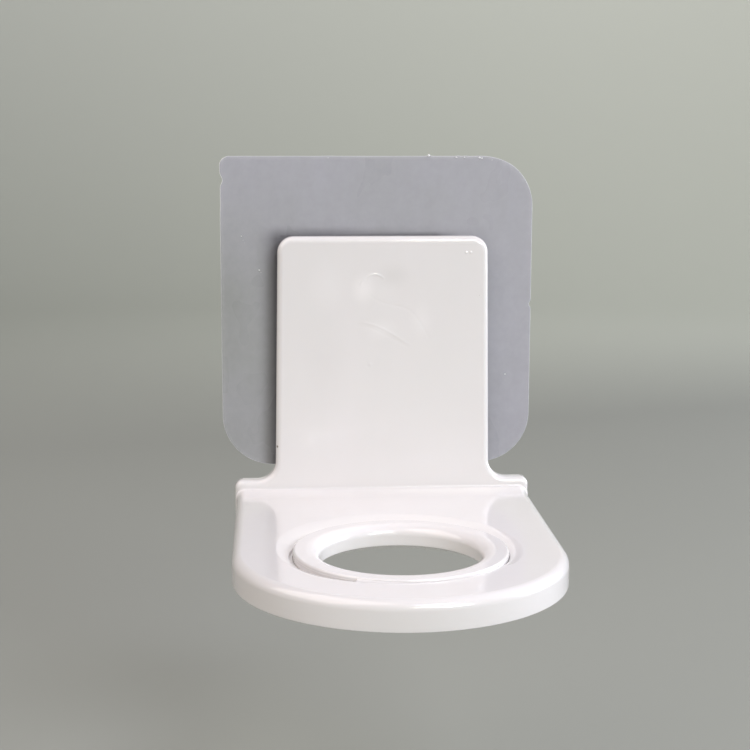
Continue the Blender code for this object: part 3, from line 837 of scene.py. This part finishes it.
def make_bracket(mat):
    back, front = PLATE_Y
    plate = prism_bm(plate_outline(), back, front, "Y")
    round_edges(
        plate,
        lambda a, b: abs(a.y - front) < 1e-3 and abs(b.y - front) < 1e-3
        and not (a.z < FOOT_BOTTOM_Z + 0.01 and b.z < FOOT_BOTTOM_Z + 0.01),
        PLATE_EDGE_R, EDGE_SEG)
    round_edges(
        plate,
        lambda a, b: abs(a.y - back) < 1e-3 and abs(b.y - back) < 1e-3
        and not (a.z < FOOT_BOTTOM_Z + 0.01 and b.z < FOOT_BOTTOM_Z + 0.01),
        0.25, 2)
    ob = new_object("bracket_shell", plate)

    zb = SHELF_Z - RIM_DEPTH
    shelf = prism_bm(shelf_outline(), zb, SHELF_Z, "Z")
    round_edges(
        shelf,
        lambda a, b: abs(a.z - SHELF_Z) < 1e-3 and abs(b.z - SHELF_Z) < 1e-3
        and not (a.y > -4.6 and b.y > -4.6),
        SHELF_EDGE_R, EDGE_SEG)
    round_edges(
        shelf,
        lambda a, b: abs(a.z - zb) < 1e-3 and abs(b.z - zb) < 1e-3
        and not (a.y > -4.6 and b.y > -4.6),
        0.25, 2)
    boolean(ob, shelf, "UNION")

    boolean(ob, crease_bm(front, zb + 0.3), "UNION")

    # hollow underside: rim wall, seat boss and ribs stay
    core = new_object("core", prism_bm(shelf_outline(SHELF_WALL, CORE_BACK_Y, 120),
                                       zb - 2.0, SHELF_Z - SHELF_SKIN, "Z"))
    boolean(core, turned_bm([(BOSS_R, -SHELF_SKIN + 1.0), (BOSS_R, -BOSS_DEPTH)],
                            180, phase=0.7), "DIFFERENCE")
    low = SHELF_Z - BOSS_DEPTH
    high = SHELF_Z - SHELF_SKIN + 1.0
    for x in (-12.0, 12.0):
        box = [(x - RIB / 2, CORE_BACK_Y + 1.0), (x + RIB / 2, CORE_BACK_Y + 1.0),
               (x + RIB / 2, SEAT_Y + 15.0), (x - RIB / 2, SEAT_Y + 15.0)]
        boolean(core, prism_bm(box, low, high, "Z"), "DIFFERENCE")
    for deg in (0.0, 180.0, 225.0, 270.0, 315.0):
        a = math.radians(deg)
        u = Vector((math.cos(a), math.sin(a)))
        v = Vector((-u.y, u.x))
        c = Vector((0.0, SEAT_Y))
        box = [tuple(c + u * s + v * t) for s, t in
               ((BOSS_R - 1.5, -RIB / 2), (36.0, -RIB / 2),
                (36.0, RIB / 2), (BOSS_R - 1.5, RIB / 2))]
        boolean(core, prism_bm(box, low, high, "Z"), "DIFFERENCE")
    cut = bmesh.new()
    cut.from_mesh(core.data)
    bpy.data.objects.remove(core)
    boolean(ob, cut, "DIFFERENCE")

    # ejector marks in the hollow's ceiling
    for x, y in ((-26.0, -16.0), (26.0, -16.0), (0.0, -18.0), (-27.5, -50.0),
                 (27.5, -50.0), (-18.0, -78.0), (18.0, -78.0)):
        mark = [(px, py) for px, py in arc(x, y, 1.6, 0, 360, 40)[:-1]]
        boolean(ob, prism_bm(mark, SHELF_Z - SHELF_SKIN - 0.5,
                             SHELF_Z - SHELF_SKIN + 0.12, "Z"), "DIFFERENCE")

    # seat: bore above the ledge and a smaller bore through it
    boolean(ob, turned_bm([(SEAT_R, 3.0), (SEAT_R, LEDGE_Z[0]),
                           (LEDGE_R, LEDGE_Z[0]), (LEDGE_R, -RIM_DEPTH - 2.0)],
                          ARC_RING), "DIFFERENCE")
    third = 360.0 / len(STOP_AT_DEG)
    for deg in STOP_AT_DEG:
        boolean(ob, sector_bm([(LEDGE_R - 1.3, LEDGE_Z[1]), (21.5, LEDGE_Z[1]),
                               (21.5, -RIM_DEPTH - 2.0),
                               (LEDGE_R - 1.3, -RIM_DEPTH - 2.0)],
                              deg + STOP_HALF_DEG, deg + third - STOP_HALF_DEG,
                              ARC_RING // 4), "DIFFERENCE")
    for deg in NOTCH_AT_DEG:
        boolean(ob, sector_bm([(LEDGE_R - 1.3, LEDGE_Z[0] + 0.5),
                               (SEAT_R - 0.05, LEDGE_Z[0] + 0.5),
                               (SEAT_R - 0.05, LEDGE_Z[1] - 0.5),
                               (LEDGE_R - 1.3, LEDGE_Z[1] - 0.5)],
                              deg - NOTCH_HALF_DEG, deg + NOTCH_HALF_DEG, 36),
                "DIFFERENCE")

    # lip beside the ring along the front right, then the recess round the rest
    boolean(ob, sector_bm(lip_profile, RECESS_TO_DEG - 4.0, LIP_TO_DEG, 60), "UNION")
    boolean(ob, sector_bm(recess_profile, RECESS_FROM_DEG, RECESS_TO_DEG, 280),
            "DIFFERENCE")
    add_plate_relief(ob)
    smooth_finish(ob, mat)
    return ob


# ---- ring --------------------------------------------------------------------

def ring_profile():
    """(r, z) from the shelf's top face, anticlockwise, with soft lips."""
    top = RING_PROUD
    shape = [(RING_FOOT_HOLE_R + 0.22, RING_BOTTOM), (SPIGOT_R - 0.3, RING_BOTTOM),
             (SPIGOT_R - 0.09, RING_BOTTOM + 0.09), (SPIGOT_R, RING_BOTTOM + 0.3),
             (SPIGOT_R, FLANGE_BOTTOM - 0.15), (SPIGOT_R + 0.04, FLANGE_BOTTOM - 0.04),
             (SPIGOT_R + 0.15, FLANGE_BOTTOM),
             (RING_R - 0.12, FLANGE_BOTTOM), (RING_R - 0.03, FLANGE_BOTTOM + 0.03),
             (RING_R, FLANGE_BOTTOM + 0.12)]
    # the mould's parting line stands out of the outer wall as a fine ridge
    for i in range(9):
        t = -1 + i / 4.0
        shape.append((RING_R - 0.045 + 0.045 * math.exp(-(t / 0.38) ** 2),
                      -0.18 + 0.12 * t))
    ro = 0.45
    shape += arc(RING_R - 0.045 - ro, top - ro, ro, 2, 90, 12)
    # flat band, then a broad squarish rounding down to the hole's waist
    drop = top - RING_WAIST_Z
    for i in range(33):
        a = math.radians(90.0 - 90.0 * i / 32.0)
        c, q = abs(math.cos(a)) ** (2 / 2.2), abs(math.sin(a)) ** (2 / 2.2)
        shape.append((RING_HOLE_R + RING_CROWN * (1.0 - c), RING_WAIST_Z + drop * q))
    # upright wall, then a flare under it to the foot
    z0, z1 = RING_WAIST_Z, RING_FLARE_Z
    foot_r, foot_z = RING_FOOT_HOLE_R, RING_BOTTOM + 0.12
    for i in range(1, 9):
        t = i / 8.0
        shape.append((RING_HOLE_R + 0.08 * t, z0 + (z1 + 0.12 - z0) * t))
    shape += [(RING_HOLE_R + 0.10, z1 + 0.03), (RING_HOLE_R + 0.17, z1 - 0.07)]
    for t in (0.25, 0.5, 0.75):
        shape.append((RING_HOLE_R + 0.17 + (foot_r - RING_HOLE_R - 0.17) * t,
                      z1 - 0.07 + (foot_z - z1 + 0.07) * t))
    shape += [(foot_r, foot_z), (foot_r + 0.06, foot_z - 0.06),
              (foot_r + 0.12, RING_BOTTOM + 0.02)]
    return shape


def make_ring(mat):
    ob = new_object("ring_shell", sector_bm(ring_profile(), 0, 360, ARC_RING))
    for deg in LUG_AT_DEG:
        lug = [(SPIGOT_R - 0.8, LUG_TOP), (RING_R - 0.08, LUG_TOP),
               (RING_R - 0.02, LUG_TOP - 0.08), (RING_R - 0.02, RING_BOTTOM + 0.3),
               (RING_R - 0.3, RING_BOTTOM + 0.05),
               (SPIGOT_R - 0.8, RING_BOTTOM + 0.05)]
        boolean(ob, sector_bm(lug, deg - LUG_HALF_DEG, deg + LUG_HALF_DEG, 36),
                "UNION")
    smooth_finish(ob, mat)
    return ob


# ---- film, gel, pad ----------------------------------------------------------

def sheet_relief(x, z):
    """How far the film leaves its plane, in mm."""
    h = 0.012 * noise.noise(Vector((x * 0.06, z * 0.05, 1.7)))
    # the corner that was lifted curls a little off the wall
    u = math.hypot(x + 36.1, z - 31.0)
    h += 0.05 * math.exp(-(u / 4.0) ** 2)
    return h


def make_sheet(name, outline, y0, y1, mat, step, edge, relief):
    bm = prism_bm(outline, y0, y1, "Y")
    round_edges(bm, lambda a, b: abs(a.y - b.y) < 1e-4, edge, 2)

    def flat(f):
        return len(f.verts) > 3 and (all(abs(v.co.y - y0 * MM) < 2e-6 for v in f.verts)
                or all(abs(v.co.y - y1 * MM) < 2e-6 for v in f.verts))

    grid_cut(bm, flat, 2, spread(-35.0, 35.0, step))
    grid_cut(bm, flat, 0, spread(-36.5, 34.5, step))
    rim = bm.verts.layers.float.new("rim")
    for v in bm.verts:
        v[rim] = 0.0 if min(abs(v.co.y - y0 * MM), abs(v.co.y - y1 * MM)) < 2e-6 else 1.0
    for v in bm.verts:
        v.co.y -= relief(v.co.x / MM, v.co.z / MM) * MM
    ob = new_object(name, bm)
    smooth_finish(ob, mat, 60.0)
    return ob


def make_specks(mat):
    """Dust caught on the film, as small flat grains."""
    bm = bmesh.new()
    grains = [(-31.4, 17.1, 0.22), (-27.5, 9.5, 0.26), (28.3, -14.6, 0.24),
              (-31.0, 16.2, 0.10), (-30.7, 15.6, 0.08), (-27.1, 9.0, 0.10),
              (10.4, 34.92, 0.46), (16.6, 34.5, 0.30), (18.4, 34.5, 0.24),
              (21.8, 34.42, 0.42), (22.3, 34.3, 0.3), (-12.0, 34.4, 0.14),
              (24.6, 33.9, 0.12)]
    for i, (x, z, r) in enumerate(grains):
        y = -1.48 - sheet_relief(x, z)
        sides = 7
        ring0, ring1 = [], []
        for k in range(sides):
            a = 2 * math.pi * k / sides
            w = r * (0.75 + 0.35 * noise.noise(Vector((i * 3.7, k * 1.3, 0.2))))
            ring0.append(bm.verts.new(Vector((x + w * math.cos(a), y + 0.02,
                                              z + 0.7 * w * math.sin(a))) * MM))
            ring1.append(bm.verts.new(Vector((x + 0.6 * w * math.cos(a), y - 0.10 * r / 0.3,
                                              z + 0.42 * w * math.sin(a))) * MM))
        bm.faces.new(list(reversed(ring0)))
        bm.faces.new(ring1)
        for k in range(sides):
            j = (k + 1) % sides
            bm.faces.new((ring0[k], ring0[j], ring1[j], ring1[k]))
    ob = new_object("film_dust", bm)
    smooth_finish(ob, mat, 180.0, weighted=False)
    return ob


# ---- build -------------------------------------------------------------------

# painted sheen and shade on the plate's face: the lighter and darker patch colours, and where they sit
PAINTED_SHEEN = (0.875, 0.85, 0.84)
PAINTED_SHADE = (0.735, 0.715, 0.70)
WHITE = white_plastic("white_abs", (0.80, 0.775, 0.765), (0.78, 0.76, 0.745), 0.13,
                      (((-23.75, -5.5, -30.0), 0.32), ((21.6, -5.9, 4.1), 0.13)),
                      (((-4.6, -6.0, 5.6), (3.4, 4.6), PAINTED_SHEEN, 0.95),
                       ((-0.6, -6.0, -3.6), (5.0, 3.4), PAINTED_SHEEN, 0.5),
                       ((8.6, -6.0, -1.5), (3.4, 5.2), PAINTED_SHEEN, 0.4),
                       ((2.0, -6.0, 8.6), (5.2, 3.6), PAINTED_SHADE, 0.8),
                       ((-13.0, -6.0, -10.0), (9.0, 16.0), PAINTED_SHADE, 0.35),
                       ((-12.5, -6.0, 6.0), (6.0, 8.0), PAINTED_SHEEN, 0.3)))
RING = white_plastic("white_abs_ring", (0.81, 0.785, 0.775), (0.79, 0.768, 0.752), 0.41)
FILM = film_material()
GEL = gel_material()
PAD = pad_material()
DUST = speck_material()

bracket = make_bracket(WHITE)
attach(bracket, "holder")
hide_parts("bracket")

ring = make_ring(RING)
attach(ring, "ring")
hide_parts("insert_ring")

film = make_sheet("film_sheet", film_outline(0.02), *FILM_Y, FILM, 1.2, 0.12,
                  sheet_relief)
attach(film, "holder")
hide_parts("film")

gel = make_sheet("gel_sheet", film_outline(GEL_INSET), *GEL_Y, GEL, 2.5, 0.1,
                 lambda x, z: 0.0)
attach(gel, "holder")
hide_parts("gel_layer")

pad_bm = prism_bm(pad_outline(0.05), *PAD_Y, "Y")
round_edges(pad_bm, lambda a, b: abs(a.y - b.y) < 1e-4, 0.18, 3)
pad = new_object("pad_foam", pad_bm)
smooth_finish(pad, PAD, 40.0)
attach(pad, "holder")
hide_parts("bond_pad")

dust = make_specks(DUST)
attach(dust, "holder")


# ---- camera ------------------------------------------------------------------

def aim(yaw, pitch, roll):
    y, p, r = (math.radians(v) for v in (yaw, pitch, roll))
    forward = Vector((math.sin(y) * math.cos(p), math.cos(y) * math.cos(p),
                      math.sin(p)))
    right = Vector((math.cos(y), -math.sin(y), 0.0))
    up = right.cross(forward)
    r2 = right * math.cos(r) + up * math.sin(r)
    u2 = -right * math.sin(r) + up * math.cos(r)
    return Matrix((r2, u2, -forward)).transposed().to_4x4()


cam_data = bpy.data.cameras.new("camera")
cam = bpy.data.objects.new("camera", cam_data)
bpy.context.scene.collection.objects.link(cam)
cam.matrix_world = Matrix.Translation(Vector((-24.94, -349.23, 44.98)) * MM) \
    @ aim(3.857, -9.691, 0.116)
cam_data.sensor_width = 36.0
cam_data.lens = 1555.2 / 750.0 * 36.0
cam_data.clip_start = 0.01
cam_data.clip_end = 20.0
bpy.context.scene.camera = cam


# ---- stage and light ---------------------------------------------------------

def make_stage():
    """Pale floor that curves up, far out, into a round backdrop."""
    floor_z = -0.125
    r_flat, r_wall, top = 1.0, 1.7, 1.6
    prof = [(0.0, floor_z), (0.3, floor_z), (0.6, floor_z), (r_flat, floor_z)]
    rr = r_wall - r_flat
    for i in range(1, 17):
        a = math.radians(-90 + 90 * i / 16.0)
        prof.append((r_flat + rr * math.cos(a), floor_z + rr + rr * math.sin(a)))
    prof.append((r_wall, top))
    bm = bmesh.new()
    n = 96
    rows = []
    for r, z in prof:
        if r == 0.0:
            rows.append([bm.verts.new((0, 0, z))])
        else:
            rows.append([bm.verts.new((x, y, z)) for x, y in
                         arc(0, 0, r, 0, 360, n)[:-1]])
    for k in range(n):
        j = (k + 1) % n
        bm.faces.new((rows[0][0], rows[1][k], rows[1][j]))
    for a, b in zip(rows[1:], rows[2:]):
        for k in range(n):
            j = (k + 1) % n
            bm.faces.new((a[k], b[k], b[j], a[j]))
    mesh = bpy.data.meshes.new("stage")
    bm.to_mesh(mesh)
    bm.free()
    mesh.shade_smooth()
    ob = bpy.data.objects.new("stage", mesh)
    bpy.context.scene.collection.objects.link(ob)
    t = Tree("stage_paint")
    rise = t.ramp(t.axis(2), -0.125, 0.22)
    t.link(t.mix(t.ramp(t.noise(1.3, 2.0, 0.5), 0.3, 0.7, 0.0, 0.25),
                 t.mix(rise, (0.332, 0.342, 0.303), (0.46, 0.47, 0.425)),
                 t.mix(rise, (0.360, 0.370, 0.330), (0.48, 0.49, 0.445))),
           t.bsdf.inputs["Base Color"])
    t.bsdf.inputs["Roughness"].default_value = 0.9
    t.bsdf.inputs["Specular IOR Level"].default_value = 0.1
    ob.data.materials.append(t.mat)
    return ob


make_stage()

world = bpy.data.worlds.new("world")
bpy.context.scene.world = world
world.use_nodes = True
world.node_tree.nodes["Background"].inputs["Color"].default_value = (0.79, 0.79, 1.00, 1.0)
world.node_tree.nodes["Background"].inputs["Strength"].default_value = 0.224


def soft_light(name, azimuth, elevation, distance, size, power, colour, aim_at=None):
    """Area light facing the holder. Azimuth 0 is in front, 90 at its right."""
    a, e = math.radians(azimuth), math.radians(elevation)
    centre = Vector((0.0, -0.045, -0.02))
    way = Vector((math.sin(a) * math.cos(e), -math.cos(a) * math.cos(e), math.sin(e)))
    data = bpy.data.lights.new(name, "AREA")
    data.shape = "RECTANGLE"
    data.size, data.size_y = size
    data.energy = power
    data.color = colour
    ob = bpy.data.objects.new(name, data)
    bpy.context.scene.collection.objects.link(ob)
    ob.location = centre + way * distance
    if aim_at is not None:
        way = ob.location - Vector(aim_at)
    ob.rotation_euler = (-way).to_track_quat("-Z", "Y").to_euler()
    ob.visible_camera = False
    return ob


soft_light("window", 25, 52, 1.0, (0.34, 0.16), 1.90, (0.79, 0.79, 1.00))
soft_light("front_high", 14, 31, 1.0, (0.26, 0.22), 1.44, (1.00, 0.98, 0.79))
soft_light("front", 34, 25, 1.0, (0.3, 0.26), 4.37, (0.93, 0.95, 1.00))
soft_light("fill_right", 104, 14, 1.1, (1.0, 0.8), 12.4, (0.87, 0.89, 1.00))
soft_light("top_left", -75, 52, 1.1, (1.2, 1.2), 8.9, (0.99, 0.885, 0.85))
soft_light("wash", 150, 35, 0.95, (0.5, 0.3), 6.71, (0.99, 1.00, 0.98), (0.15, 1.6, 0.42))

view = bpy.context.scene.view_settings
view.view_transform = "Standard"
view.look = "None"
view.exposure = 0.0
view.gamma = 1.0
